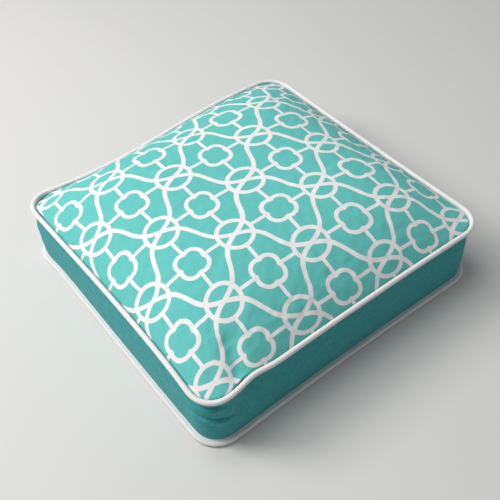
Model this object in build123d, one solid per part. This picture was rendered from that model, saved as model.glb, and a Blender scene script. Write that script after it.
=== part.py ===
from build123d import *
import os

# Chair seat pad: a square boxed cushion with a crowned top, piped seams and a zip in the back boxing.
# Millimetres. +Z up, X across the seat, +Y towards the chair's back. The origin is the middle of the
# underside, which rests on the seat.

# Driving dimensions
pad_width = 490.0            # outside of the piping, across the seat
pad_depth = 502.0            # outside of the piping, front to back
boxing_height = 104.0        # between the two piping centrelines
crown_height = 58.0          # rise of the top panel above its seam
corner_radius = 38.0         # of the piping centreline, in plan
piping_diameter = 8.0        # covered cord
piping_cloth = 0.8           # cloth round the cord
seam_allowance = 11.0        # width of the piping's sewn flange
flange_thickness = 1.0       # two layers of piping cloth
cloth = 1.2                  # panels and boxing

# Filling
batting_thickness = 12.0     # polyester wadding on the underside and borders
core_height = 92.0           # main foam slab
crown_pad_rise = 38.0        # second, smaller slab that makes the crown
crown_pad_inset = 66.0       # its foot, in from the cover
crown_pad_slope = 50.0       # how far its sides run in

# Zip
zip_travel = 340.0           # slider, closed to open
zip_opening = 12.0           # slot between the two boxing strips
zip_panel_half = 196.0       # half length of the zip panel across the back
tape_width = 14.0
tape_thickness = 0.6
tape_gap = 1.4               # between the two tapes and the two coils
coil_width = 1.9
coil_thickness = 2.1
slider_length = 11.0
slider_width = 9.0
slider_plate = 1.0
slider_play = 0.3            # clear of tape and coil
rail_width = 1.0
wedge_length = 2.4
wedge_width = 0.8
bridge_length = 7.0
bridge_width = 2.0
bridge_height = 3.2
bridge_wall = 1.1
pull_length = 24.0
pull_width = 7.0
pull_thickness = 1.2
pull_window = 6.4            # eye, along the pull from the bar's middle
pull_window_width = 3.8
stop_length = 3.0
stop_height = 6.8
stop_wall = 0.6

# Worked out from the above
piping_radius = piping_diameter / 2
cord_radius = piping_radius - piping_cloth
half_flange = flange_thickness / 2
bottom_seam = piping_radius
top_seam = bottom_seam + boxing_height
cover_inset = piping_diameter + 0.1          # outer face of the boxing, in from the pad's outside
mid_height = (bottom_seam + top_seam) / 2
back_face = pad_depth / 2 - cover_inset      # outer face of the back boxing

# Crown of the top panel: how far in from the boxing, and the rise there as a share of the crown
crown_profile = [(0, 0.0), (14, 0.21), (30, 0.41), (50, 0.60), (78, 0.79), (110, 0.92), (150, 1.0)]


def outline(inset, z, soften=0.0):
    """Rounded plan outline at height z, drawn in from the pad's outside."""
    radius = max(corner_radius + piping_radius - inset, 6.0) + soften
    return Plane.XY.offset(z) * RectangleRounded(pad_width - 2 * inset, pad_depth - 2 * inset, radius)


def slab(inset, low, high):
    """Upright block with the pad's plan shape."""
    return extrude(outline(inset, low), high - low)


def box_between(low, high):
    """Box from its lowest to its highest corner."""
    size = [b - a for a, b in zip(low, high)]
    middle = [(a + b) / 2 for a, b in zip(low, high)]
    return Pos(*middle) * Box(*size)


def crown_solid(inset, base, rise):
    """Solid under a crowned surface that starts at the given inset and height."""
    sections = [outline(inset + run, base + share * rise, soften=0.45 * run) for run, share in crown_profile]
    return loft(sections, ruled=True)


def piping_ring(z, radius):
    """Round bar that follows the pad's edge."""
    path = outline(piping_radius, z).wire()
    start = Plane(origin=path @ 0, z_dir=path % 0)
    return sweep(start * Circle(radius), path=path)


# Covers -------------------------------------------------------------------------------------------

def piping_cover(z):
    """Cloth tube round the cord, with its flat flange running in between the two sewn edges."""
    reach = piping_diameter + seam_allowance
    flange = slab(piping_radius + cord_radius, z - half_flange, z + half_flange)
    flange -= slab(reach, z - half_flange, z + half_flange)
    return piping_ring(z, piping_radius) + flange - piping_ring(z, cord_radius)


def top_panel():
    base = top_seam + half_flange
    inside = crown_solid(cover_inset + cloth, base, crown_height - cloth)
    return crown_solid(cover_inset, base, crown_height) - inside


def bottom_panel():
    """Flat sheet that turns up to the bottom seam at its edge."""
    turn_up = bottom_seam - half_flange
    flat_inset = cover_inset + 3 * turn_up
    outside = loft([outline(flat_inset, 0), outline(cover_inset, turn_up)], ruled=True)
    inside = loft([outline(flat_inset + cloth, cloth), outline(cover_inset + cloth, turn_up)], ruled=True)
    return outside - inside


def boxing_ring():
    low, high = bottom_seam + half_flange, top_seam - half_flange
    return slab(cover_inset, low, high) - slab(cover_inset + cloth, low, high)


def zip_panel_zone():
    """Space that the zip panel takes out of the boxing, across the back."""
    low = (-zip_panel_half, back_face - 3 * cloth, 0)
    return box_between(low, (zip_panel_half, back_face + cloth, top_seam))


def boxing_band():
    """One strip round the front and both sides, ending just past the back corners."""
    return boxing_ring() - zip_panel_zone()


def zip_boxing(upper):
    """Strip of boxing above or below the zip."""
    edge = zip_opening / 2
    low = mid_height + edge if upper else bottom_seam
    high = top_seam if upper else mid_height - edge
    return boxing_ring() & box_between((-zip_panel_half, 0, low), (zip_panel_half, pad_depth, high))


# Zip ----------------------------------------------------------------------------------------------

tape_outer = back_face - cloth               # tapes lie against the back of the boxing strips
tape_inner = tape_outer - tape_thickness
coil_outer = tape_outer + coil_thickness
slider_middle = zip_travel / 2               # where the slider stands when the zip is closed
bridge_foot = coil_outer + slider_play + slider_plate
bridge_room = bridge_height - bridge_wall     # under the arch
hinge_y = bridge_foot + bridge_room / 2


def mirrored(side, low, high):
    """Height range above (side 1) or below (side -1) the middle of the zip."""
    return sorted((mid_height + side * low, mid_height + side * high))


def zip_tape(side):
    low, high = mirrored(side, tape_gap / 2, tape_gap / 2 + tape_width)
    return box_between((-zip_panel_half, tape_inner, low), (zip_panel_half, tape_outer, high))


def zip_coil(side):
    """Coil of one half of the chain, as a bar with rounded outer edges."""
    low, high = mirrored(side, tape_gap / 2, tape_gap / 2 + coil_width)
    reach = zip_travel / 2 + slider_length / 2 + stop_length
    bar = box_between((-reach, tape_outer, low), (reach, coil_outer, high))
    return fillet(bar.edges().filter_by(Axis.X).group_by(Axis.Y)[-1], 0.7)


def zip_end_stops():
    """Crimped clip across the tapes at each end of the slider's travel."""
    stops = []
    for end in (-1, 1):
        near = zip_travel / 2 + slider_length / 2 + slider_play
        chain = zip_travel / 2 + slider_length / 2 + stop_length
        low_x, high_x = sorted((end * near, end * (chain + stop_length)))
        clip = box_between(
            (low_x, tape_outer, mid_height - stop_height / 2),
            (high_x, coil_outer + stop_wall, mid_height + stop_height / 2),
        )
        chain_room = box_between(
            (-chain, tape_outer, mid_height - tape_gap / 2 - coil_width),
            (chain, coil_outer, mid_height + tape_gap / 2 + coil_width),
        )
        stops.append(clip - chain_room)
    return Compound(children=stops)


def slider_body():
    """Two plates with side rails, joined by a thin wedge at the nose, and a bridge for the pull."""
    x0, x1 = slider_middle - slider_length / 2, slider_middle + slider_length / 2
    z0, z1 = mid_height - slider_width / 2, mid_height + slider_width / 2
    outer_low = coil_outer + slider_play
    inner_high = tape_inner - slider_play
    front = box_between((x0, outer_low, z0), (x1, bridge_foot, z1))
    front = fillet(front.edges().filter_by(Axis.Y), 2.2)
    rear = box_between((x0, inner_high - slider_plate, z0), (x1, inner_high, z1))
    rear = fillet(rear.edges().filter_by(Axis.Y), 2.2)
    body = front + rear
    for side in (-1, 1):
        low, high = mirrored(side, slider_width / 2 - rail_width, slider_width / 2)
        body += box_between((x0 + 2.2, tape_outer + slider_play, low), (x1 - 2.2, outer_low, high))
    wedge_low = (x1 - wedge_length - 1.0, inner_high, mid_height - wedge_width / 2)
    body += box_between(wedge_low, (x1 - 1.0, outer_low, mid_height + wedge_width / 2))
    return body + slider_bridge()


def slider_bridge():
    """Arch along the slider that holds the pull's bar."""
    half = bridge_length / 2
    arch = box_between(
        (slider_middle - half, bridge_foot, mid_height - bridge_width / 2),
        (slider_middle + half, bridge_foot + bridge_height, mid_height + bridge_width / 2),
    )
    arch = fillet(arch.edges().filter_by(Axis.Z).group_by(Axis.Y)[-1], 1.0)
    opening = box_between(
        (slider_middle - half + bridge_wall, bridge_foot, mid_height - bridge_width),
        (slider_middle + half - bridge_wall, hinge_y + bridge_room / 2, mid_height + bridge_width),
    )
    return arch - opening


def slider_pull():
    """Flat tab whose eye goes round the bridge, with a round bar. It lies back over the closed chain."""
    y0, y1 = hinge_y - pull_thickness / 2, hinge_y + pull_thickness / 2
    far = slider_middle - pull_length
    low = (far, y0, mid_height - pull_width / 2)
    tab = box_between(low, (slider_middle, y1, mid_height + pull_width / 2))
    tab = fillet(tab.edges().filter_by(Axis.Y).group_by(Axis.X)[0], 2.0)
    tab -= box_between(
        (slider_middle - pull_window, y0, mid_height - pull_window_width / 2),
        (slider_middle, y1, mid_height + pull_window_width / 2),
    )
    tab -= Pos(far + 5.0, hinge_y, mid_height) * Rot(90, 0, 0) * Cylinder(1.5, pull_thickness)
    return tab + Pos(slider_middle, hinge_y, mid_height) * Cylinder(pull_thickness / 2, pull_width)


# Filling ------------------------------------------------------------------------------------------

fill_inset = cover_inset + cloth
core_inset = fill_inset + batting_thickness
core_low = cloth + batting_thickness
core_high = core_low + core_height


def zip_channel():
    """Room in the wadding for the tapes and the slider's rear plate."""
    depth = cloth + tape_thickness + slider_play + slider_plate + 0.4
    reach = tape_gap / 2 + tape_width
    return box_between(
        (-zip_panel_half - 1, back_face - depth, mid_height - reach),
        (zip_panel_half + 1, back_face, mid_height + reach),
    )


def foam_core():
    return slab(core_inset, core_low, core_high)


def foam_crown_pad():
    """Smaller slab with sloping sides, glued on top of the core."""
    foot = outline(crown_pad_inset, core_high, soften=30)
    top = outline(crown_pad_inset + crown_pad_slope, core_high + crown_pad_rise, soften=50)
    return loft([foot, top], ruled=True)


def batting_envelope():
    """Everything inside the cover, with its flanges and zip left out."""
    rounding = 3 * bottom_seam
    lower = loft([outline(fill_inset + rounding, cloth), outline(fill_inset, rounding)], ruled=True)
    middle = slab(fill_inset, rounding, top_seam + half_flange)
    upper = crown_solid(fill_inset, top_seam + half_flange, crown_height - cloth)
    filled = lower + middle + upper
    for z in (bottom_seam, top_seam):
        rim = slab(fill_inset - cloth, z - half_flange, z + half_flange)
        filled -= rim - slab(piping_diameter + seam_allowance, z - half_flange, z + half_flange)
    return filled - zip_channel()


def batting(upper):
    """Wadding wrapped over the foam: the upper or the lower half, which meet half way up the border."""
    low, high = (mid_height, 2 * top_seam) if upper else (0, mid_height)
    half = batting_envelope() & box_between((-pad_width, -pad_depth, low), (pad_width, pad_depth, high))
    half -= foam_core()
    return half - foam_crown_pad() if upper else half


nodes = {
    "top_panel": top_panel(),
    "bottom_panel": bottom_panel(),
    "boxing_band": boxing_band(),
    "zip_boxing_upper": zip_boxing(upper=True),
    "zip_boxing_lower": zip_boxing(upper=False),
    "top_piping_cover": piping_cover(top_seam),
    "top_piping_cord": piping_ring(top_seam, cord_radius),
    "bottom_piping_cover": piping_cover(bottom_seam),
    "bottom_piping_cord": piping_ring(bottom_seam, cord_radius),
    "zip_tape_upper": zip_tape(1),
    "zip_tape_lower": zip_tape(-1),
    "zip_coil_upper": zip_coil(1),
    "zip_coil_lower": zip_coil(-1),
    "zip_end_stops": zip_end_stops(),
    "zip_slider": slider_body(),
    "zip_pull": slider_pull(),
    "foam_core": foam_core(),
    "foam_crown_pad": foam_crown_pad(),
    "batting_top": batting(upper=True),
    "batting_bottom": batting(upper=False),
}

os.makedirs("parts", exist_ok=True)
for name, solid in nodes.items():
    solid.label = name
    export_step(solid, f"parts/{name}.step")
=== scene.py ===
import math
from functools import partialmethod

import bpy
import numpy as np
from mathutils import Matrix, Vector


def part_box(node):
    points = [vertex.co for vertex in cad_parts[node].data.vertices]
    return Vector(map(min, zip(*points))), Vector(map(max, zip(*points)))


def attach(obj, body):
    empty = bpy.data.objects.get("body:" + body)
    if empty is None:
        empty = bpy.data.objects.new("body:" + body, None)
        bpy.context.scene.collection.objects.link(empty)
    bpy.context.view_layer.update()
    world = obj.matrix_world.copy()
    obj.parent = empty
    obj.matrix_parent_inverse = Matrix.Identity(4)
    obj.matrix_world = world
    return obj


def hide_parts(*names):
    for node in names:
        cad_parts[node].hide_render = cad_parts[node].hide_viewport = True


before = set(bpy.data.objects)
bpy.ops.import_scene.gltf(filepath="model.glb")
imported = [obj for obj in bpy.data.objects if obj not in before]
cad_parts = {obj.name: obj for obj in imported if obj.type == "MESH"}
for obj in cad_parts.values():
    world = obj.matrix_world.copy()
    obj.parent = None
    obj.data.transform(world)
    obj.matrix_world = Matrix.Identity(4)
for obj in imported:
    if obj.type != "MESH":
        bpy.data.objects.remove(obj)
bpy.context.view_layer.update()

MM = 0.001

# Sizes read from the frame ------------------

top_low, top_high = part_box("top_piping_cover")
base_low, base_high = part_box("bottom_piping_cover")
PIPING_R = (top_high.z - top_low.z) / 2
ROLL_R = 0.9 * PIPING_R                  # the sewn roll is drawn a little tighter than its filler allows
TOP_SEAM = (top_low.z + top_high.z) / 2
BASE_SEAM = (base_low.z + base_high.z) / 2
HALF_X = top_high.x - 2 * PIPING_R       # stitch line, where panel, piping and boxing meet
HALF_Y = top_high.y - 2 * PIPING_R
CORNER_R = 34 * MM

slider_low, slider_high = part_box("zip_slider")
strip_low, strip_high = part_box("zip_boxing_upper")
coil_low, coil_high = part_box("zip_coil_upper")
ZIP_Z = (slider_low.z + slider_high.z) / 2
ZIP_SLOT = strip_low.z - ZIP_Z           # from the middle of the zip to the edge of a strip
ZIP_FACE = strip_high.y                  # outer face of the back boxing
ZIP_HALF = strip_high.x

# The cover's shape --------------------------

CROWN = 60 * MM                          # rise of the top panel above its seam
CROWN_POWER = 4                          # the middle is a plateau and the edges fall away
# Millimetres that each side is drawn in between its corners, and how that leans to its high end
PULL_IN_TOP = {"front": (5.0, 0.6), "right": (4.0, 0.0), "back": (2.5, 0.0), "left": (7.0, -1.0)}
PULL_IN_BASE = {"front": (-1.0, 0.8), "right": (3.5, 0.0), "back": (2.5, 0.0), "left": (3.0, 0.0)}
FRONT_OUT = 3 * MM                       # the filling pushes the whole front edge out

GRID = 60                                # cells along each side
ROUND = 4 * GRID                         # points round a seam
RINGS = 12                               # rings between the middle grid and the seam
MIDDLE = 0.74                            # size of the middle grid, as a share of the panel
STRIP_ROWS = 8                           # rows of boxing above and below the zip's slot
CLOTH = 0.9 * MM
BOXING_BULGE = 4.2 * MM
TUCK = 2.2 * MM                          # the boxing's edges stop this short of the seams' middles
WADDING_GAP, WADDING_THICK = 6.5 * MM, 7 * MM

# How the filling pushes the sewn cover about. Paired reaches are along the seam, then up and down.
LEFT_WAVE, WAVE_REACH = 5.5 * MM, 45 * MM                # the left seam dips in front and rises behind
CORNER_SAG, SAG_REACH = 4 * MM, (42 * MM, 34 * MM)       # the near corner's seam sinks
CORNER_OUT, OUT_REACH = 7 * MM, (48 * MM, 45 * MM)       # the front left corner's boxing stands out
PINCH_IN, PINCH_UP, PINCH_REACH = 3.2 * MM, 2.4 * MM, (21 * MM, 26 * MM)
PINCH_Y = -172 * MM                      # where the right seam is pinched

FRAMES = 25                              # steps of the cloth simulation
PRESSURE = 4
SPARE_CLOTH = 0.045                      # how much longer the cloth grows where it is slack
BROAD_SHARE, FOLD_SHARE = 0.25, 1.8      # how much of the simulated swelling and its folds is kept
MOST_MOVED = 12 * MM

rng = np.random.default_rng(5)


def smooth(x):
    x = np.clip(x, 0, 1)
    return x * x * (3 - 2 * x)


def unit(vectors):
    return vectors / np.linalg.norm(vectors, axis=1, keepdims=True)


def run_round(line):
    """Distance run to each point of a closed line, and the whole way round."""
    gaps = np.linalg.norm(np.roll(line, -1, 0) - line, axis=1)
    return np.concatenate([[0], np.cumsum(gaps)[:-1]]), gaps.sum()


def bump(distance, reach):
    """1 at no distance, falling smoothly to 0 over about two reaches."""
    return np.exp(-((distance / reach) ** 2))


def rounded_loop(half_x, half_y, radius, count):
    """Points evenly spaced round a rounded rectangle, from the middle of its front left corner, and
    their outward normals. count is for the whole loop."""
    quarter = count // 4
    points, normals = [], []
    sides = [(half_x, half_y, -90), (half_y, half_x, 0), (half_x, half_y, 90), (half_y, half_x, 180)]
    for along, out, turn in sides:
        straight = 2 * (along - radius)
        eighth = radius * math.pi / 4
        spaced = np.arange(quarter) / quarter * (straight + 2 * eighth)
        first = np.clip((eighth - spaced) / radius, 0, None)
        last = np.clip((spaced - eighth - straight) / radius, 0, None)
        bend = last - first
        x = -along + radius + np.clip(spaced - eighth, 0, straight) + radius * np.sin(bend)
        y = out - radius + radius * np.cos(bend)
        a = math.radians(turn)
        # the side's own frame has x along the side, and y outward
        ex, ey = np.array([-math.sin(a), math.cos(a)]), np.array([math.cos(a), math.sin(a)])
        points.append(x[:, None] * ex + y[:, None] * ey)
        normals.append(np.sin(bend)[:, None] * ex + np.cos(bend)[:, None] * ey)
    return np.concatenate(points), np.concatenate(normals)


def crown_height(x, y):
    across = np.clip(1 - np.abs(x / HALF_X) ** CROWN_POWER, 0, 1)
    along = np.clip(1 - np.abs(y / HALF_Y) ** CROWN_POWER, 0, 1)
    return CROWN * across * along


def pull_in(points, amounts):
    """Draws the sides in between the corners, by millimetres and a lean along the side."""
    x, y = points[:, 0] / HALF_X, points[:, 1] / HALF_Y

    def drawn(side, along):
        depth, lean = amounts[side]
        return depth * MM * (1 - along**2).clip(0) * (1 + lean * along)

    side_x = np.where(x > 0, drawn("right", y), drawn("left", y))
    side_y = np.where(y > 0, drawn("back", x), drawn("front", x))
    moved = points.copy()
    moved[:, 0] -= np.sign(x) * side_x * np.abs(x) ** 5
    moved[:, 1] -= np.sign(y) * side_y * np.abs(y) ** 5 + FRONT_OUT * (y < 0) * np.abs(y) ** 3
    return moved


def arc_length(distance, other, half, other_half):
    """Length of cloth from the crown's middle to a point at this distance along one axis."""
    share = np.clip(1 - np.abs(other / other_half) ** CROWN_POWER, 0, 1)
    steps = np.linspace(0, 1, 33)
    t = np.abs(distance)[:, None] * steps
    slope = CROWN * CROWN_POWER * (t / half) ** (CROWN_POWER - 1) / half * share[:, None]
    curve = np.sqrt(1 + slope**2)
    mean = ((curve[:, 1:] + curve[:, :-1]) / 2).mean(axis=1)
    return distance * mean


def panel_grid():
    """Flat panel: a middle grid inside rings that end on the seam. Returns the plan points, each
    point's ring as a share of the way out, the quads, and the indices of the seam loop."""
    seam, _ = rounded_loop(HALF_X, HALF_Y, CORNER_R, ROUND)
    line = np.linspace(-1, 1, GRID + 1)
    gx, gy = np.meshgrid(line, line, indexing="ij")
    # the middle grid's sides bow out a little, so that its cells stay even
    mx = gx * MIDDLE * HALF_X * (1 + 0.06 * (1 - gy**2))
    my = gy * MIDDLE * HALF_Y * (1 + 0.06 * (1 - gx**2))
    points = [np.stack([mx.ravel(), my.ravel()], 1)]
    shares = [np.zeros(mx.size)]
    index = np.arange(mx.size).reshape(GRID + 1, GRID + 1)
    quads = flipped(grid_quads(index))
    # round the grid's edge from its front left corner, as the seam runs
    loop = np.concatenate([index[:-1, 0], index[-1, :-1], index[:0:-1, -1], index[0, :0:-1]])
    inner = points[0][loop]
    for ring in range(RINGS):
        share = (ring + 1) / RINGS
        points.append(inner + (seam - inner) * share)
        shares.append(np.full(ROUND, share))
        new = mx.size + ROUND * ring + np.arange(ROUND)
        quads += quads_between(loop, new)
        loop = new
    return np.concatenate(points), np.concatenate(shares), quads, loop


def zip_hold(points, z):
    """1 on the back beside the zip, 0 well above and below it and past its ends."""
    beside = smooth(1.5 - abs(z - ZIP_Z) / (16 * MM))
    along = smooth((ZIP_HALF + 24 * MM - np.abs(points[:, 0])) / (20 * MM))
    return beside * along * (points[:, 1] > HALF_Y / 2)


def start_shape():
    """The cover before it is filled: crowned top panel and boxing in one mesh."""
    plan, share, quads, loop = panel_grid()
    height = crown_height(plan[:, 0], plan[:, 1])
    # the crown's formula isn't quite zero at the rounded corners, so the rings ease it to zero
    left_over = np.zeros(len(plan))
    left_over[-ROUND * RINGS:] = np.tile(height[loop], RINGS)
    height = height - left_over * share**2
    cut_x = arc_length(plan[:, 0], plan[:, 1], HALF_X, HALF_Y)
    cut_y = arc_length(plan[:, 1], plan[:, 0], HALF_Y, HALF_X)
    verts = [np.column_stack([pull_in(plan, PULL_IN_TOP), TOP_SEAM + height])]

    seam, normal = rounded_loop(HALF_X, HALF_Y, CORNER_R, ROUND)
    # distance round the boxing, from the middle of the back, where only the zip's strips are
    run, total = run_round(seam)
    run = (run - run[GRID * 5 // 2]) % total
    # the rows' heights, from the top seam down, with rows on both edges of the zip's slot
    upper = np.linspace(TOP_SEAM, ZIP_Z + ZIP_SLOT, STRIP_ROWS + 1)
    lower = np.linspace(ZIP_Z - ZIP_SLOT, BASE_SEAM, STRIP_ROWS + 1)
    heights = np.concatenate([upper, [ZIP_Z], lower])
    top, base = pull_in(seam, PULL_IN_TOP), pull_in(seam, PULL_IN_BASE)
    # filled boxing stands out between its seams, least at the corners
    middle = 1 - np.minimum(np.abs(seam) / [HALF_X, HALF_Y], 1).min(axis=1) ** 3
    for z in heights[1:]:
        down = (TOP_SEAM - z) / (TOP_SEAM - BASE_SEAM)
        bulge = BOXING_BULGE * math.sin(math.pi * down) ** 0.7
        ring = top + (base - top) * down + normal * (bulge * (0.35 + 0.65 * middle))[:, None]
        # the zip keeps the back flat at its own height
        ring[:, 1] += (ZIP_FACE - ring[:, 1]) * zip_hold(ring, z)
        verts.append(np.column_stack([ring, np.full(ROUND, z)]))
    rows = [loop] + [len(plan) + ROUND * k + np.arange(ROUND) for k in range(len(heights) - 1)]
    return {
        "verts": np.concatenate(verts),
        "panel_faces": quads,
        "boxing_faces": [
            list(zip(np.roll(above, -1), above, below, np.roll(below, -1)))
            for above, below in zip(rows, rows[1:])
        ],
        "rows": rows,
        "panel_count": len(plan),
        "share": share,
        "cut": np.column_stack([cut_x, cut_y, cut_x * 0]),
        "boxing_cut": [np.column_stack([run, run * 0 + z, run * 0]) for z in heights],
        "normal": normal,
    }


# Folds and dents that the sewing leaves -----

def on_line(points, a, b, reach, ends):
    """1 on the segment from a to b, falling off over reach to its sides and over ends past its ends."""
    a, b = np.array(a, float), np.array(b, float)
    length = np.linalg.norm(b - a)
    line = (b - a) / length
    rel = points - a
    run = rel @ line
    side = np.abs(rel @ np.array([-line[1], line[0]]))
    past = np.maximum(np.abs(run - length / 2) - length / 2, 0)
    return bump(side, reach) * bump(past, ends)


def settle_seam(verts):
    """Moves the top seam, and less so the cloth near it, as the filling pushes it."""
    moved = verts.copy()
    x, y, z = verts.T
    level = np.abs(z - TOP_SEAM)
    left = smooth((-x / HALF_X - 0.6) / 0.35)
    t = y / HALF_Y
    moved[:, 2] += bump(level, WAVE_REACH) * left * LEFT_WAVE * np.sin(math.pi * t) * (np.abs(t) < 1)
    sag = bump(np.hypot(x - HALF_X, y + HALF_Y), SAG_REACH[0]) * bump(level, SAG_REACH[1])
    moved[:, 2] -= CORNER_SAG * sag
    left_corner = bump(np.hypot(x + HALF_X, y + HALF_Y), OUT_REACH[0])
    out = CORNER_OUT * left_corner * smooth((TOP_SEAM - z) / OUT_REACH[1])
    moved[:, :2] -= 0.7 * out[:, None]  # diagonally
    right = smooth((x / HALF_X - 0.7) / 0.3)
    pinch = bump(y - PINCH_Y, PINCH_REACH[0]) * right * bump(level, PINCH_REACH[1])
    moved[:, 0] -= PINCH_IN * pinch
    moved[:, 2] += PINCH_UP * pinch
    return moved


# Making meshes ------------------------------

def make_object(name, verts, faces, cut=None):
    """A mesh object. cut gives each point's place on its cloth before sewing, for the materials."""
    mesh = bpy.data.meshes.new(name)
    mesh.from_pydata([tuple(v) for v in verts], [], [tuple(int(i) for i in f) for f in faces])
    if cut is not None:
        layer = mesh.attributes.new("cut", "FLOAT_VECTOR", "POINT")
        layer.data.foreach_set("vector", np.asarray(cut, dtype=np.float32).ravel())
    mesh.shade_smooth()
    obj = bpy.data.objects.new(name, mesh)
    bpy.context.scene.collection.objects.link(obj)
    return obj


def grid_quads(index, closed_rows=False, closed_columns=False):
    """Quads between neighbours in a grid of point indices, either way of which may close on itself."""
    n, m = index.shape
    return [
        (index[i, j], index[i, (j + 1) % m], index[(i + 1) % n, (j + 1) % m], index[(i + 1) % n, j])
        for i in range(n if closed_rows else n - 1)
        for j in range(m if closed_columns else m - 1)
    ]


def flipped(quads):
    return [(a, d, c, b) for a, b, c, d in quads]


def quads_between(loop, new):
    return list(zip(loop, new, np.roll(new, -1), np.roll(loop, -1)))


def add_thickness(obj, thickness):
    thick = obj.modifiers.new("thickness", "SOLIDIFY")
    thick.thickness = thickness
    thick.offset = -1


def evaluated(obj):
    """The object's mesh with its modifiers applied: points, faces and the cut attribute."""
    graph = bpy.context.evaluated_depsgraph_get()
    mesh = bpy.data.meshes.new_from_object(obj.evaluated_get(graph))
    verts = np.empty((len(mesh.vertices), 3))
    mesh.vertices.foreach_get("co", verts.ravel())
    faces = [tuple(p.vertices) for p in mesh.polygons]
    cut = None
    if "cut" in mesh.attributes:
        cut = np.empty((len(verts), 3), dtype=np.float32)
        mesh.attributes["cut"].data.foreach_get("vector", cut.ravel())
    bpy.data.meshes.remove(mesh)
    return verts, faces, cut


def drop(obj):
    mesh = obj.data
    bpy.data.objects.remove(obj)
    bpy.data.meshes.remove(mesh)


def add_subsurf(obj):
    sub = obj.modifiers.new("smooth", "SUBSURF")
    sub.levels = sub.render_levels = 1
    sub.boundary_smooth = "PRESERVE_CORNERS"


def finer(verts, faces, cut):
    """One subdivision, as arrays, so that small folds can be pressed into it."""
    obj = make_object("finer", verts, faces, cut)
    add_subsurf(obj)
    result = evaluated(obj)
    drop(obj)
    return result


def pick(verts, faces, cut):
    """Keeps only the points that the faces use."""
    used, flat = np.unique(np.array([i for f in faces for i in f]), return_inverse=True)
    it = iter(flat)
    return verts[used], [tuple(int(next(it)) for _ in f) for f in faces], cut[used]


def normals_of(verts, faces):
    """Area-weighted point normals."""
    quads = np.array([f if len(f) == 4 else (*f, f[-1]) for f in faces])
    a, b, c, d = (verts[quads[:, k]] for k in range(4))
    face = np.cross(c - a, d - b)
    total = np.zeros_like(verts)
    for k in range(4):
        np.add.at(total, quads[:, k], face)
    return total / np.maximum(np.linalg.norm(total, axis=1, keepdims=True), 1e-12)


def relaxed(values, faces, times):
    """Values averaged with their neighbours over and over: what is left has no small folds."""
    edges = {(min(a, b), max(a, b)) for f in faces for a, b in zip(f, (*f[1:], f[0]))}
    edges = np.array(sorted(edges))
    degree = np.bincount(edges.ravel(), minlength=len(values)).astype(float)
    now = values.copy()
    for _ in range(times):
        total = np.zeros_like(now)
        np.add.at(total, edges[:, 0], now[edges[:, 1]])
        np.add.at(total, edges[:, 1], now[edges[:, 0]])
        now = 0.5 * now + 0.5 * total / degree[:, None]
    return now


# Filling the cover --------------------------

def set_weights(obj, name, weights):
    group = obj.vertex_groups.new(name=name)
    levels = np.round(weights, 2)
    for level in np.unique(levels):
        if level > 0:
            group.add([int(i) for i in np.nonzero(levels == level)[0]], float(level), "REPLACE")


def fill_cover(shape, verts):
    """Cloth simulation: pressure inside pushes the sewn cover out, and its spare cloth puckers."""
    faces = shape["panel_faces"] + [f for row in shape["boxing_faces"] for f in row]
    out = normals_of(verts, faces)
    uneven = verts + out * (rng.standard_normal(len(verts)) * 0.35 * MM)[:, None]
    obj = make_object("filling", uneven, faces)

    hold = np.zeros(len(verts))
    hold[shape["rows"][-1]] = 1
    hold[shape["rows"][0]] = 0.95
    for row in shape["rows"][1:-1]:
        z = verts[row[0], 2]
        hold[row] = np.maximum(hold[row], zip_hold(verts[row], z))
    set_weights(obj, "hold", hold)
    spare = np.full(len(verts), 0.55)
    count = shape["panel_count"]
    spare[:count] = 0.25 + 0.75 * smooth(shape["share"] / 0.6)
    set_weights(obj, "spare", spare)

    cloth = obj.modifiers.new("filling", "CLOTH")
    s = cloth.settings
    s.quality = 6
    s.mass = 0.25
    s.tension_stiffness = s.compression_stiffness = 30
    s.shear_stiffness = 12
    s.bending_stiffness = 0.6
    s.tension_damping = s.compression_damping = s.shear_damping = 8
    s.air_damping = 4
    s.vertex_group_mass = "hold"
    s.pin_stiffness = 20
    s.vertex_group_shrink = "spare"
    s.shrink_min, s.shrink_max = 0.0, -SPARE_CLOTH
    s.use_pressure = True
    s.uniform_pressure_force = PRESSURE
    s.effector_weights.gravity = 0
    cloth.collision_settings.use_collision = False
    cloth.collision_settings.use_self_collision = False
    cloth.point_cache.frame_start, cloth.point_cache.frame_end = 1, FRAMES
    for step in range(1, FRAMES + 1):
        bpy.context.scene.frame_set(step)
    filled, _, _ = evaluated(obj)
    bpy.context.scene.frame_set(1)
    drop(obj)

    moved = filled - verts
    broad = relaxed(moved, faces, 40)
    folds = moved - broad
    # the seams are sewn to the piping, which smooths their folds away
    free = np.full(len(verts), 1.0)
    free[:shape["panel_count"]] = smooth((1 - shape["share"]) / 0.3)
    for row in (*shape["rows"][:2], *shape["rows"][-2:]):
        free[row] = 0
    moved = broad * BROAD_SHARE + folds * FOLD_SHARE * free[:, None]
    length = np.linalg.norm(moved, axis=1, keepdims=True)
    moved *= np.minimum(1, MOST_MOVED / np.maximum(length, 1e-9))
    return verts + moved


# Small folds pressed in after the filling ---

# From, to, reach across, reach past the ends and depth, in millimetres. A depth under 0 is inward.
# On the boxing: along from the near corner's middle, and height. On the panel: across and along it.
BOXING_CREASES = [
    ((-22, 84), (6, 87), 3.2, 13, -3.4),
    ((-24, 78), (8, 80), 4.0, 10, 1.8),
    ((-18, 60), (14, 58), 3.2, 13, -3.8),
    ((-20, 53), (16, 52), 4.5, 10, 2.0),
    ((-14, 99), (12, 99), 2.0, 8, -1.4),
    ((62, 100), (46, 66), 11, 16, -2.6),
]
PANEL_CREASES = [
    ((232, -184), (196, -176), 14, 14, -5.5),
    ((58, -226), (80, -204), 11, 12, -3.0),
    ((-236, -238), (-226, -196), 9, 10, -3.0),
    ((-196, -246), (-184, -238), 8, 8, -2.0),
]


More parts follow.
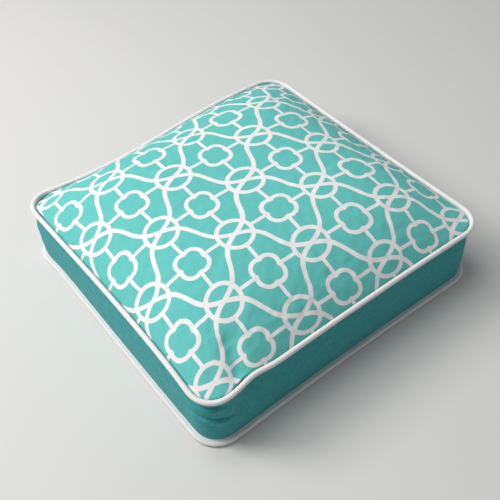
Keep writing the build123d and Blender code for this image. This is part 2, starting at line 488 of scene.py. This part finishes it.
def press(verts, faces, places, creases):
    """Moves points along their normals by the creases' depths at their places."""
    depth = np.zeros(len(verts))
    for a, b, reach, ends, amount in creases:
        depth += on_line(places / MM, a, b, reach, ends) * amount * MM
    return verts + normals_of(verts, faces) * depth[:, None]


# Pieces of the cover ------------------------

def turned_in(verts, faces, cut, loop, outward, lift):
    """Adds a last ring that takes the panel's edge down into the seam, beside the piping."""
    deep = verts[loop] - outward * 0.5 * MM - [0, 0, 3.4 * MM]
    faces = faces + quads_between(loop, len(verts) + np.arange(len(loop)))
    verts = verts.copy()
    verts[loop] += -outward * 1.0 * MM + [0, 0, lift]
    return np.concatenate([verts, deep]), faces, np.concatenate([cut, cut[loop]])


def eased_print(cut):
    """Where the print's cloth was taken from: spare cloth is eased into the rounded corners."""
    moved = cut.copy()
    corner = smooth(1 - np.hypot(np.abs(cut[:, 0]) / HALF_X - 1, np.abs(cut[:, 1]) / HALF_Y - 1) / 0.4)
    moved[:, :2] += corner[:, None] * np.sign(cut[:, :2]) * 5 * MM
    return moved


def cover_pieces(shape, verts):
    """The top panel, the boxing band and the two strips beside the zip."""
    cut = np.concatenate([shape["cut"], *shape["boxing_cut"][1:]])
    count, first, last = shape["panel_count"], shape["rows"][0], shape["rows"][-1]
    outward = np.column_stack([shape["normal"], np.zeros(ROUND)])
    panel = turned_in(verts[:count], shape["panel_faces"], cut[:count], first, outward, lift=0.4 * MM)
    panel = finer(*finer(*panel))
    points = press(panel[0], panel[1], panel[2][:, :2], PANEL_CREASES)
    made = [make_object("top_panel_cloth", points, panel[1], eased_print(panel[2]))]

    # the boxing shares the panel's seam loop but has its own coordinates, and it ends a little
    # below the top seam's middle and above the bottom one's
    cut[first] = shape["boxing_cut"][0]
    verts = verts.copy()
    verts[first] += outward * 0.2 * MM - [0, 0, TUCK]
    verts[last] += outward * 0.2 * MM + [0, 0, TUCK]
    seam = verts[first]
    ahead = np.roll(seam, -1, 0)
    inside = (
        (np.minimum(seam[:, 1], ahead[:, 1]) > HALF_Y * 0.9)
        & (np.maximum(np.abs(seam[:, 0]), np.abs(ahead[:, 0])) < ZIP_HALF + 1 * MM)
    )
    rows = shape["boxing_faces"]
    band = [f for row in rows for k, f in enumerate(row) if not inside[k]]
    upper = [f for row in rows[:STRIP_ROWS] for k, f in enumerate(row) if inside[k]]
    lower = [f for row in rows[STRIP_ROWS + 2:] for k, f in enumerate(row) if inside[k]]
    part = finer(*finer(*pick(verts, band, cut)))
    from_corner = part[2][:, 0] - shape["boxing_cut"][0][GRID, 0]
    points = press(part[0], part[1], np.column_stack([from_corner, part[2][:, 1]]), BOXING_CREASES)
    made.append(make_object("boxing_band_cloth", points, part[1], part[2]))
    strip_cut = np.column_stack([verts[:, 0], cut[:, 1:]])
    for name, faces in (("zip_strip_upper_cloth", upper), ("zip_strip_lower_cloth", lower)):
        points, faces, part_cut = finer(*finer(*pick(verts, faces, strip_cut)))
        made.append(make_object(name, points, faces, part_cut))
    for piece in made:
        add_thickness(piece, CLOTH)
    return made


def bottom_panel(shape, verts):
    """The flat underside, whose edge turns up into the bottom seam."""
    plan, share, quads, _ = panel_grid()
    flat = pull_in(plan, PULL_IN_BASE)
    loop = verts[shape["rows"][-1]]
    rings = len(plan) - ROUND * RINGS
    flat[rings:] += np.tile(loop[:, :2] - flat[-ROUND:], (RINGS, 1)) * (share[rings:, None] ** 2)
    turn = smooth((share - 0.72) / 0.28)
    waves_in_it = 5
    ripple = sum(
        np.sin(plan @ (rng.standard_normal(2) * 28) + rng.uniform(0, 6.28)) for _ in range(waves_in_it)
    )
    rest, depth = 0.5 * MM, 0.12 * MM  # the cloth's lowest, and half the depth of its ripple
    z = rest + depth * (ripple + waves_in_it) * (1 - turn) * 0.5
    z = z + (loop[:, 2].mean() - rest) * turn**2
    points = np.column_stack([flat, z])
    points[-ROUND:] = loop
    faces = [tuple(reversed(q)) for q in quads]
    obj = make_object("bottom_panel_cloth", points, faces, np.column_stack([plan, z * 0]))
    add_subsurf(obj)
    add_thickness(obj, CLOTH)
    return obj


def wadding(shape, verts, name, upper):
    """Half of the wadding that wraps the foam, just inside the cover."""
    rows = shape["boxing_faces"]
    count = shape["panel_count"]
    verts = verts.copy()
    verts[:count] = press(verts[:count], shape["panel_faces"], shape["cut"][:, :2], PANEL_CREASES)
    flat_from = len(verts)
    if upper:
        faces = shape["panel_faces"] + [f for row in rows[:STRIP_ROWS] for f in row]
    else:
        # its floor lies on the bottom panel, turns up at the edge and is joined to the boxing there
        plan, share, quads, loop = panel_grid()
        floor = np.column_stack([pull_in(plan, PULL_IN_BASE), np.full(len(plan), 1.6 * MM)])
        floor[:, 2] += smooth((share - 0.7) / 0.3) * 3 * MM
        verts = np.concatenate([verts, floor])
        join = dict(zip(loop + flat_from, shape["rows"][-1]))
        faces = [tuple(join.get(i + flat_from, i + flat_from) for i in reversed(q)) for q in quads]
        faces += [f for row in rows[STRIP_ROWS + 2:] for f in row]
    inset = verts - normals_of(verts, faces) * WADDING_GAP
    inset[flat_from:, 2] = verts[flat_from:, 2]
    inset[:, 2] = np.maximum(inset[:, 2], 1.8 * MM)
    points, faces, _ = pick(inset, faces, inset)
    obj = make_object(name, points, faces)
    add_thickness(obj, WADDING_THICK)
    return obj


# Piping -------------------------------------

def smooth_loop(points, times):
    """A closed line through the smoothed boundary of a subdivided mesh, with times as many points."""
    point = (np.roll(points, 1, 0) + 4 * points + np.roll(points, -1, 0)) / 6
    before, after, far = np.roll(point, 1, 0), np.roll(point, -1, 0), np.roll(point, -2, 0)
    lines = []
    for k in range(times):
        t = k / times
        lines.append(0.5 * (
            2 * point + (after - before) * t
            + (2 * before - 5 * point + 4 * after - far) * t**2
            + (3 * point - before - 3 * after + far) * t**3
        ))
    return np.stack(lines, 1).reshape(-1, 3)


def waves(run, total, lengths, count):
    """A seeded sum of waves that closes on itself round the loop."""
    value = np.zeros_like(run)
    for _ in range(count):
        turns = max(1, round(total / rng.uniform(*lengths)))
        value += np.sin(2 * math.pi * turns * run / total + rng.uniform(0, 6.28))
    return value / math.sqrt(count)


def sweep(name, line, ring_of):
    """A closed tube whose cross-section, from ring_of, is offset outward and upward from the line."""
    along = unit(np.roll(line, -1, 0) - np.roll(line, 1, 0))
    outward = unit(np.cross(along, [0, 0, 1]))
    up = np.cross(outward, along)
    run, total = run_round(line)
    offsets, around = ring_of(run, total)  # (points along, points round, 2), and distance round
    n, m = offsets.shape[:2]
    verts = line[:, None] + offsets[..., :1] * outward[:, None] + offsets[..., 1:] * up[:, None]
    verts[..., 2] = np.maximum(verts[..., 2], 0)  # flat where it rests
    index = np.arange(n * m).reshape(n, m)
    cut = np.stack(np.broadcast_arrays(run[:, None], around[None, :], 0.0), -1).reshape(-1, 3)
    return make_object(name, verts.reshape(-1, 3), grid_quads(index, True, True), cut)


def piping_cover(name, loop, top_seam, join):
    """Bias cloth wrapped round its filler, with a flange into the seam. join is where
    its ends overlap, as (x, y)."""
    line = smooth_loop(loop, 4)
    first = np.hypot(line[:, 0] - join[0], line[:, 1] - join[1]).argmin()
    line = np.roll(line, -first, 0)
    turn = math.radians(-40 if top_seam else 40)  # the flange turns down, or up, into the pad
    angles = np.radians(np.linspace(-168, 168, 21))
    flange = np.array([[-1.0, 0.45], [-4.5, 0.4], [-4.5, -0.4], [-1.0, -0.45]]) * MM
    flange -= [ROLL_R, 0]
    overlap, overlap_height = 14 * MM, 0.75 * MM
    wrinkle_height, slant = 0.07 * MM, 2.2 * MM  # slant is along the roll, for each radian round

    def ring_of(run, total):
        radius = ROLL_R * (1 + 0.012 * waves(run, total, (14 * MM, 40 * MM), 6))
        gap = (run + total / 2) % total - total / 2
        # one end laps over the other, with a soft step at each side
        lapped = smooth((gap + overlap) / (3 * MM)) * smooth(-gap / (1.5 * MM))
        radius = radius + overlap_height * lapped
        twist = waves(run, total, (6 * MM, 12 * MM), 5)
        rings = []
        for a in angles:
            # fine slanting wrinkles, where the bias cloth bends round the filler
            shifted = np.interp((run + a * slant) % total, run, twist, period=total)
            r = radius + wrinkle_height * shifted
            rings.append(np.stack([r * np.cos(a), r * np.sin(a)], 1))
        for f in flange:
            rings.append(np.broadcast_to(f, (len(run), 2)))
        around = np.concatenate([angles * ROLL_R, np.array([4, 5, 6, 7]) * ROLL_R])
        flat = np.stack(rings, 1)
        c, s = math.cos(-turn), math.sin(-turn)
        turned = np.stack([flat[..., 0] * c - flat[..., 1] * s, flat[..., 0] * s + flat[..., 1] * c], -1)
        return turned + [2 * PIPING_R - ROLL_R, 0], around

    return sweep(name, line, ring_of)


def piping_filler(name, loop):
    """Three strands twisted into the soft cord inside the piping."""
    line = smooth_loop(loop, 4)
    angles = np.linspace(0, 2 * math.pi, 18, endpoint=False)
    lay, cover, groove = 22 * MM, 1.25 * MM, 0.35 * MM  # lay is one whole turn of the strands

    def ring_of(run, total):
        turns = round(total / lay)
        twist = 2 * math.pi * turns * run / total
        r = ROLL_R - cover + groove * np.abs(np.cos(1.5 * (angles[None] - twist[:, None])))
        rings = np.stack([2 * PIPING_R - ROLL_R + r * np.cos(angles), r * np.sin(angles)], -1)
        return rings, angles * 3 * MM

    return sweep(name, line, ring_of)


# The zip ------------------------------------

def zip_tape(half, side):
    """Half of the zip's woven tape, ribbed along its length. side is 1 above the zip and -1 below."""
    low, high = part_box(f"zip_tape_{half}")
    columns, rows = 200, 24
    rib, rib_height = 1.5 * MM, 0.12 * MM
    x = np.linspace(low.x, high.x, columns + 1)
    z = np.linspace(low.z, high.z, rows + 1)
    gx, gz = np.meshgrid(x, z, indexing="ij")
    ribs = 0.5 + 0.5 * np.cos((gz - low.z) / rib * 2 * math.pi)
    y = high.y - rib_height * (1 - ribs)
    # past the ends of the teeth the two tapes meet edge to edge
    middle, to_end = (coil_low.x + coil_high.x) / 2, (coil_high.x - coil_low.x) / 2
    past = smooth((np.abs(gx - middle) - to_end) / (2 * MM))
    inner = low.z if side > 0 else high.z
    near_middle = smooth(1 - np.abs(gz - inner) / (3 * MM))
    gz = gz + (ZIP_Z + side * 0.1 * MM - inner) * past * near_middle
    verts = np.stack([gx, y, gz], -1).reshape(-1, 3)
    index = np.arange(len(verts)).reshape(columns + 1, rows + 1)
    cut = np.column_stack([verts[:, 0], verts[:, 2], verts[:, 1] * 0])
    obj = make_object(f"zip_tape_{half}_woven", verts, grid_quads(index), cut)
    add_thickness(obj, (high.y - low.y) * 0.7)
    return obj


def zip_coil(half, side):
    """Half of the zip's teeth: one moulded coil, flattened, with its bends towards the middle."""
    low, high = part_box(f"zip_coil_{half}")
    pitch, wire = 1.6 * MM, 0.33 * MM  # wire is the coil's own radius
    sides, steps = 6, 14  # round the wire, and along each turn of it
    turns = int((high.x - low.x) / pitch)
    t = np.arange(turns * steps + 1) / steps * 2 * math.pi
    mid_y = (low.y + high.y) / 2
    # the bends reach past the zip's middle, between those of the other half
    reach = 0.45 * MM
    far_z = high.z if side > 0 else low.z
    mid_z = (far_z + ZIP_Z - side * reach) / 2
    half_y, half_z = (high.y - low.y) / 2 - wire, abs(far_z - ZIP_Z + side * reach) / 2 - wire
    phase = 0 if side > 0 else math.pi
    c, s = np.cos(t + phase), np.sin(t + phase)
    line = np.column_stack([
        low.x + wire + t / (2 * math.pi) * (high.x - low.x - 2 * wire) / turns,
        mid_y + half_y * np.sign(s) * np.abs(s) ** 0.8,
        mid_z + half_z * c,
    ])
    along = unit(np.gradient(line, axis=0))
    one = unit(np.cross(along, [1.0, 0, 0]))
    two = np.cross(along, one)
    a = np.linspace(0, 2 * math.pi, sides, endpoint=False)
    ring = np.cos(a)[None, :, None] * one[:, None] + np.sin(a)[None, :, None] * two[:, None]
    verts = (line[:, None] + wire * ring).reshape(-1, 3)
    index = np.arange(len(verts)).reshape(-1, sides)
    faces = grid_quads(index, closed_columns=True)
    faces += [tuple(index[0][::-1]), tuple(index[-1])]
    return make_object(f"zip_coil_{half}_teeth", verts, faces)


def zip_stitching():
    """Two rows of lockstitch that hold the strips to the tapes. Each stitch is a small closed bead."""
    step, length, width = 3.2 * MM, 2.5 * MM, 0.7 * MM
    from_edge, from_end = 2.6 * MM, 5 * MM
    # the section runs across and out of the cloth; the stations are along it, and how full
    section = [(-1, 0.0), (-0.7, 0.7), (0, 1.0), (0.7, 0.7), (1, 0.0)]
    stations = [(-0.5, 0.05), (-0.38, 0.8), (0, 1.0), (0.38, 0.8), (0.5, 0.05)]
    stitch = np.array([
        (at * length, h * size * width * 0.6, -w * width / 2)
        for at, size in stations
        for w, h in section
    ])
    verts, faces = [], []
    for z in (ZIP_Z + ZIP_SLOT + from_edge, ZIP_Z - ZIP_SLOT - from_edge):
        for x in np.arange(-ZIP_HALF + from_end, ZIP_HALF - from_end, step):
            grid = np.arange(len(stitch)).reshape(len(stations), -1) + len(verts)
            verts += list(stitch + (x, ZIP_FACE, z))
            faces += flipped(grid_quads(grid))
            # the underside closes it
            faces.append((*grid[0], *grid[1:, -1], *grid[-1, -2::-1], *grid[-2:0:-1, 0]))
    return make_object("zip_stitching", verts, faces)


# Materials ----------------------------------

def feed(tree, value, socket):
    """Links a Flow to a socket, or sets the socket to a plain value."""
    if isinstance(value, Flow):
        tree.links.new(value.socket, socket)
    else:
        socket.default_value = value


class Flow:
    """A number or colour that flows through a material's nodes. Arithmetic on it adds Math nodes."""

    def __init__(self, tree, socket):
        self.tree, self.socket = tree, socket

    def op(self, name, *others):
        node = self.tree.nodes.new("ShaderNodeMath")
        node.operation = name
        for value, socket in zip((self, *others), node.inputs):
            feed(self.tree, value, socket)
        return Flow(self.tree, node.outputs[0])

    __add__ = __radd__ = partialmethod(op, "ADD")
    __mul__ = __rmul__ = partialmethod(op, "MULTIPLY")
    __sub__ = partialmethod(op, "SUBTRACT")
    __abs__ = partialmethod(op, "ABSOLUTE")
    floor = partialmethod(op, "FLOOR")
    sin = partialmethod(op, "SINE")
    root = partialmethod(op, "SQRT")
    min = partialmethod(op, "MINIMUM")
    max = partialmethod(op, "MAXIMUM")

    def __rsub__(self, o):
        return self * -1.0 + o

    def over(self, low, high):
        """Rises smoothly from 0 to 1 as this goes from low to high."""
        node = self.tree.nodes.new("ShaderNodeMapRange")
        node.interpolation_type = "SMOOTHSTEP"
        for name, value in (("Value", self), ("From Min", low), ("From Max", high)):
            feed(self.tree, value, node.inputs[name])
        return Flow(self.tree, node.outputs["Result"])


def hypot(x, y):
    return (x * x + y * y).root()


# The print is a generic trellis: only its slant, line width and colours follow the photograph.
PRINT_REPEAT = 105 * MM
PRINT_TURN = 45                          # degrees
# The rest is in repeats: how far the sewing pulls it about, how far its bands sway, half its lines'
# widths, the ring's radius, and where a quatrefoil's circles are and how large
PRINT_WOBBLE, SWAY = 0.10, 0.07
BAND_HALF, THIN_HALF, LINK_HALF = 0.033, 0.030, 0.025
RING_R = 0.24
FOIL_AT, FOIL_R = 0.088, 0.14
LINK_FROM = 0.16                         # where the links start, from the cell's middle


def lattice(u, v):
    """How far outside the printed lines a point is, in repeats; less than 0 is on a line.
    A generic trellis: wavy bands both ways, a ring round each crossing and a quatrefoil in each cell."""
    a, b = u - (u + 0.5).floor(), v - (v + 0.5).floor()  # from the nearest crossing
    p, q = abs(u - u.floor() - 0.5), abs(v - v.floor() - 0.5)  # from the cell's middle
    over = b - SWAY * (a * (2 * math.pi)).sin()  # above the band that runs across
    right = a - SWAY * (b * (2 * math.pi)).sin()  # right of the band that runs up
    bands = abs(over).min(abs(right)) - BAND_HALF
    ring = abs(hypot(a, b) - RING_R) - THIN_HALF

    # a quatrefoil is four equal circles, of which only the nearest counts
    far, near = p.max(q), p.min(q)
    quatrefoil = abs(hypot(far - FOIL_AT, near) - FOIL_R) - THIN_HALF
    # links run along the cell's diagonals, from a quatrefoil to a ring
    link = abs(p - q) * math.sqrt(0.5) - LINK_HALF
    link = link.max(LINK_FROM - hypot(p, q)).max(RING_R - hypot(a, b))
    return bands.min(ring).min(quatrefoil).min(link)


def linear(r, g, b):
    """A colour given as it looks on a screen, 0 to 255, as the linear values that shaders take."""
    def one(c):
        c /= 255
        return c / 12.92 if c <= 0.04045 else ((c + 0.055) / 1.055) ** 2.4
    return (one(r), one(g), one(b), 1.0)


class Finish:
    """A material under construction."""

    def __init__(self, name, coordinates="cut"):
        self.material = bpy.data.materials.new(name)
        self.material.use_nodes = True
        self.tree = self.material.node_tree
        self.shader = self.tree.nodes["Principled BSDF"]
        if coordinates == "cut":
            node = self.tree.nodes.new("ShaderNodeAttribute")
            node.attribute_name = "cut"
            self.place = node.outputs["Vector"]
        else:
            self.place = self.tree.nodes.new("ShaderNodeTexCoord").outputs["Object"]
        split = self.tree.nodes.new("ShaderNodeSeparateXYZ")
        self.tree.links.new(self.place, split.inputs[0])
        self.x, self.y, self.z = (Flow(self.tree, out) for out in split.outputs)

    def set(self, **values):
        """Sets the shader's sockets, each to a plain value or a Flow."""
        for name, value in values.items():
            feed(self.tree, value, self.shader.inputs[name.replace("_", " ")])

    def noise(self, x_scale, y_scale, z_scale=None, detail=2.0):
        """Noise from 0 to 1 whose grains are 1/scale metres along each axis."""
        mapping = self.tree.nodes.new("ShaderNodeVectorMath")
        mapping.operation = "MULTIPLY"
        self.tree.links.new(self.place, mapping.inputs[0])
        mapping.inputs[1].default_value = (x_scale, y_scale, z_scale or x_scale)
        node = self.tree.nodes.new("ShaderNodeTexNoise")
        node.inputs["Scale"].default_value = 1.0
        node.inputs["Detail"].default_value = detail
        self.tree.links.new(mapping.outputs[0], node.inputs["Vector"])
        return Flow(self.tree, node.outputs[0])

    def mix(self, share, a, b):
        """Colour a where share is 0 and b where it is 1. Each is a colour or another mix."""
        node = self.tree.nodes.new("ShaderNodeMix")
        node.data_type = "RGBA"
        for value, k in ((share, 0), (a, 6), (b, 7)):
            feed(self.tree, value, node.inputs[k])
        return Flow(self.tree, node.outputs[2])

    def shade(self, colour, value):
        """A colour made lighter or darker by a Flow around 1."""
        node = self.tree.nodes.new("ShaderNodeVectorMath")
        node.operation = "SCALE"
        feed(self.tree, colour if isinstance(colour, Flow) else colour[:3], node.inputs[0])
        feed(self.tree, value, node.inputs["Scale"])
        return Flow(self.tree, node.outputs[0])

    def painted(self, colour, bright, height=None, relief=0.0, **values):
        """The finished material. bright, a Flow around 1 or None, makes its colour brighter or darker;
        height is a Flow for its bumps, which relief scales to metres; values are its other sockets."""
        if bright is not None:
            colour = self.shade(colour, bright)
        self.set(Base_Color=colour, **values)
        if height is not None:
            node = self.tree.nodes.new("ShaderNodeBump")
            node.inputs["Distance"].default_value = relief
            feed(self.tree, height, node.inputs["Height"])
            self.tree.links.new(node.outputs[0], self.shader.inputs["Normal"])
        return self.material


def slanted(x, y, turn, repeat=1.0):
    """Coordinates turned by an angle and counted in repeats."""
    c, s = math.cos(turn) / repeat, math.sin(turn) / repeat
    return x * c + y * s, y * c - x * s


def woven(x, y, pitch):
    """Height of a plain weave: the threads of each set cross over and under the other's."""
    warp, weft = (x * (math.pi / pitch)).sin(), (y * (math.pi / pitch)).sin()
    return abs(warp) * 0.5 + abs(weft) * 0.5 + warp * weft * 0.5


def woven_cloth(name, pitch, slub, relief, colour_of, turn=0.0):
    """A woven cloth's material. colour_of makes its colour from its Finish and a brightness Flow."""
    finish = Finish(name)
    x, y = slanted(finish.x, finish.y, turn) if turn else (finish.x, finish.y)
    weave = woven(x, y, pitch)
    # slubs are thicker stretches of single threads, along and across
    slubs = finish.noise(150, 1 / pitch, detail=1.0) + finish.noise(1 / pitch, 150, detail=1.0) - 1.0
    patches = finish.noise(26, 26, detail=3.0) - 0.5
    # the weave's crowns are painted a little lighter than its low places between the threads, as painted
    # shade; slubs and patches are the yarn's own tone
    bright = slubs * slub + patches * 0.07 + weave * 0.05 + 0.97
    return finish.painted(
        colour_of(finish, bright), None, weave + slubs * 0.3, relief,
        Roughness=slubs * 0.15 + 0.86, Sheen_Weight=0.06, Sheen_Roughness=0.5, Specular_IOR_Level=0.2,
    )


def printed(finish, bright):
    # the print's repeats lie slanted on the panel, and are pulled about a little by the sewing
    u, v = slanted(finish.x, finish.y, math.radians(PRINT_TURN), PRINT_REPEAT)
    u = u + (finish.noise(9, 9, detail=0.0) - 0.5) * PRINT_WOBBLE
    v = v + (finish.noise(8, 8, 3, detail=0.0) - 0.5) * PRINT_WOBBLE
    # ink bleeds a little along the threads
    bleed = (finish.noise(700, 700, detail=1.0) - 0.5) * 0.006
    off_line = (lattice(u, v) + bleed).over(-0.004, 0.004)
    line = finish.shade(OFF_WHITE, bright * 0.5 + 0.5)
    return finish.mix(off_line, line, finish.shade(TURQUOISE, bright))


def heathered(finish, bright):
    share = (finish.noise(110, 1250, detail=1.0) + finish.noise(1250, 110, detail=1.0)).over(0.8, 1.2)
    return finish.shade(finish.mix(share * 0.6 + 0.2, TEAL_DARK, TEAL_LIGHT), bright)


def dyed(colour):
    return lambda finish, bright: finish.shade(colour, bright)


def thread():
    finish = Finish("stitch_thread", "object")
    twist = (finish.x * 7000 + finish.z * 7000).sin()
    # the twist's ridges are painted lighter and its grooves darker: painted light and shade
    return finish.painted(TAPE, twist * 0.08 + 1.0, twist, 0.03 * MM, Roughness=0.6, Sheen_Weight=0.2)


def wadding_fibre():
    finish = Finish("polyester_wadding", "object")
    fibres = finish.noise(900, 60, 900, detail=4.0) + finish.noise(60, 900, 900, detail=4.0) - 1.0
    tufts = finish.noise(60, 60, 60, detail=3.0) - 0.5
    bright = fibres * 0.2 + tufts * 0.1 + 1.0
    return finish.painted(WADDING, bright, fibres + tufts, 0.6 * MM, Roughness=0.95, Sheen_Weight=0.4)


def foam_cells():
    finish = Finish("polyurethane_foam", "object")
    cells = finish.tree.nodes.new("ShaderNodeTexVoronoi")
    cells.inputs["Scale"].default_value = 700
    finish.tree.links.new(finish.place, cells.inputs["Vector"])
    depth = Flow(finish.tree, cells.outputs["Distance"])
    yellowed = finish.noise(12, 12, 12, detail=2.0) - 0.5
    # the cells' pits are painted darker than their rims, as painted shade; yellowed is the foam's own
    # uneven tone
    bright = depth * 0.35 + yellowed * 0.12 + 0.86
    return finish.painted(FOAM, bright, depth, 0.5 * MM, Roughness=0.92)


def filler_fibre():
    finish = Finish("piping_filler_fibre")
    fibres = finish.noise(300, 2500, 300, detail=3.0) - 0.5
    return finish.painted(FILLER, fibres * 0.3 + 1.0, fibres, 0.15 * MM, Roughness=0.9, Sheen_Weight=0.3)


def coil_plastic():
    finish = Finish("zip_coil_nylon", "object")
    grime = finish.noise(300, 300, 300, detail=2.0) - 0.5
    rough = grime * 0.2 + 0.42
    return finish.painted(
        COIL, grime * 0.12 + 1.0, grime, 0.02 * MM, Roughness=rough, Specular_IOR_Level=0.4
    )


def nickel():
    """Nickel-plated die-cast metal, brushed and clouded by handling."""
    finish = Finish("zip_nickel", "object")
    cloudy = finish.noise(260, 260, 260, detail=3.0) - 0.5
    scratches = finish.noise(300, 3500, 3500, detail=2.0) - 0.5
    bright, rough = cloudy * 0.15 + scratches * 0.1 + 1.0, cloudy * 0.2 + scratches * 0.15 + 0.30
    height = scratches + cloudy * 2.0
    return finish.painted(NICKEL, bright, height, 0.02 * MM, Metallic=1.0, Roughness=rough)


def floor_paint():
    finish = Finish("floor_paint", "object")
    soft = finish.noise(3, 3, 3, detail=2.0) - 0.5
    return finish.painted(FLOOR, soft * 0.02 + 1.0, Roughness=0.9, Specular_IOR_Level=0.1)


TURQUOISE = linear(99, 192, 186)
OFF_WHITE = linear(236, 232, 232)
PIPING_WHITE = linear(234, 231, 230)
TEAL_LIGHT = linear(75, 173, 175)
TEAL_DARK = linear(46, 141, 143)
TAPE = linear(70, 150, 152)
COIL = linear(78, 160, 160)
WADDING = linear(240, 240, 236)
FOAM = linear(236, 226, 196)
FILLER = linear(232, 228, 216)
NICKEL = linear(200, 198, 192)
FLOOR = linear(214, 213, 210)


# Putting it together ------------------------

shape = start_shape()
settled = settle_seam(shape["verts"])
cover = fill_cover(shape, settled)

top, band, strip_upper, strip_lower = cover_pieces(shape, cover)
# Where each piping's ends meet
JOINS = {"top": (20 * MM, HALF_Y), "bottom": (HALF_X, -155 * MM)}

# Cloths have a thread pitch, how much their slubs show, and the height of their weave
finishes = {
    "printed_cloth": woven_cloth("printed_cloth", 0.75 * MM, 0.10, 0.07 * MM, printed),
    "plain_cloth": woven_cloth("plain_cloth", 0.8 * MM, 0.24, 0.08 * MM, heathered),
    "piping_cloth": woven_cloth(
        "piping_cloth", 0.7 * MM, 0.07, 0.10 * MM, dyed(PIPING_WHITE), turn=math.radians(45)
    ),
    "piping_filler": filler_fibre(),
    "zip_tape": woven_cloth("zip_tape_cloth", 0.5 * MM, 0.10, 0.08 * MM, dyed(TAPE)),
    "zip_coil": coil_plastic(),
    "zip_metal": nickel(),
    "foam": foam_cells(),
    "wadding": wadding_fibre(),
}

# Piece, the CAD node that it stands for, and its material slot. The bottom panel and then the
# piping draw from rng, so the order of these lines counts.
pieces = [
    (top, "top_panel", "printed_cloth"),
    (band, "boxing_band", "plain_cloth"),
    (strip_upper, "zip_boxing_upper", "plain_cloth"),
    (strip_lower, "zip_boxing_lower", "plain_cloth"),
    (bottom_panel(shape, cover), "bottom_panel", "plain_cloth"),
    (wadding(shape, cover, "wadding_upper", True), "batting_top", "wadding"),
    (wadding(shape, cover, "wadding_lower", False), "batting_bottom", "wadding"),
]
seams = {"top": cover[shape["rows"][0]], "bottom": cover[shape["rows"][-1]]}
for end, seam in seams.items():
    roll = piping_cover(f"{end}_piping_bias_cloth", seam, end == "top", JOINS[end])
    pieces.append((roll, f"{end}_piping_cover", "piping_cloth"))
for end, seam in seams.items():
    filler = piping_filler(f"{end}_piping_filler", seam)
    pieces.append((filler, f"{end}_piping_cord", "piping_filler"))
for part, make in (("zip_tape", zip_tape), ("zip_coil", zip_coil)):
    for half, side in (("upper", 1), ("lower", -1)):
        pieces.append((make(half, side), f"{part}_{half}", part))

for piece, node, slot in pieces:
    piece.data.materials.append(finishes[slot])
    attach(piece, "root")
    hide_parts(node)
stitching = zip_stitching()
stitching.data.materials.append(thread())
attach(stitching, "root")

# Nodes that stay as the CAD has them, with better materials and the metal's edges rounded
for name in ("foam_core", "foam_crown_pad", "zip_end_stops", "zip_slider", "zip_pull"):
    obj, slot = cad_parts[name], "zip_metal" if name.startswith("zip") else "foam"
    for material_slot in obj.material_slots:
        material_slot.material = finishes[slot]
    if slot == "zip_metal":
        bevel = obj.modifiers.new("rounding", "BEVEL")
        bevel.width = 0.22 * MM
        bevel.segments = 2
        bevel.limit_method = "ANGLE"


# Floor, light and camera --------------------

scene = bpy.context.scene
scene.view_settings.view_transform = "Standard"

floor = make_object("studio_floor", [(-4, -4, 0), (4, -4, 0), (4, 4, 0), (-4, 4, 0)], [(0, 1, 2, 3)])
floor.location.z = -0.3 * MM
floor.data.materials.append(floor_paint())

world = bpy.data.worlds.new("studio")
world.use_nodes = True
backdrop = world.node_tree.nodes["Background"]
backdrop.inputs["Color"].default_value = (0.93, 0.97, 1.0, 1)
backdrop.inputs["Strength"].default_value = 0.24
scene.world = world


def area_light(name, place, size, power, colour=(1, 1, 1)):
    light = bpy.data.lights.new(name, "AREA")
    light.shape = "DISK"
    light.size = size
    light.energy = power
    light.color = colour
    obj = bpy.data.objects.new(name, light)
    scene.collection.objects.link(obj)
    obj.location = place
    aim = Vector((0, 0, 0.08)) - Vector(place)
    obj.rotation_euler = aim.to_track_quat("-Z", "Y").to_euler()


area_light("key", (-1.3, -1.5, 1.9), 1.1, 45, (1.0, 0.985, 0.96))
area_light("top_fill", (-0.4, -0.5, 2.4), 1.6, 28)

# the photograph's camera: turned from the front towards the right side, looking down
AZIMUTH, ELEVATION, ROLL = math.radians(54.74), math.radians(47.81), math.radians(-3.46)
DISTANCE = 1.2023
toward = Vector((
    math.sin(AZIMUTH) * math.cos(ELEVATION),
    -math.cos(AZIMUTH) * math.cos(ELEVATION),
    math.sin(ELEVATION),
))
level = Vector((math.cos(AZIMUTH), math.sin(AZIMUTH), 0))
upright = toward.cross(level)
right_axis = level * math.cos(ROLL) + upright * math.sin(ROLL)
up_axis = upright * math.cos(ROLL) - level * math.sin(ROLL)
data = bpy.data.cameras.new("camera")
data.lens = 54.12
data.sensor_width = 36
data.shift_y = 0.0142
camera = bpy.data.objects.new("camera", data)
scene.collection.objects.link(camera)
turned = Matrix((right_axis, up_axis, toward)).transposed().to_4x4()
camera.matrix_world = Matrix.Translation(Vector((0, 0, BASE_SEAM)) + toward * DISTANCE) @ turned
scene.camera = camera
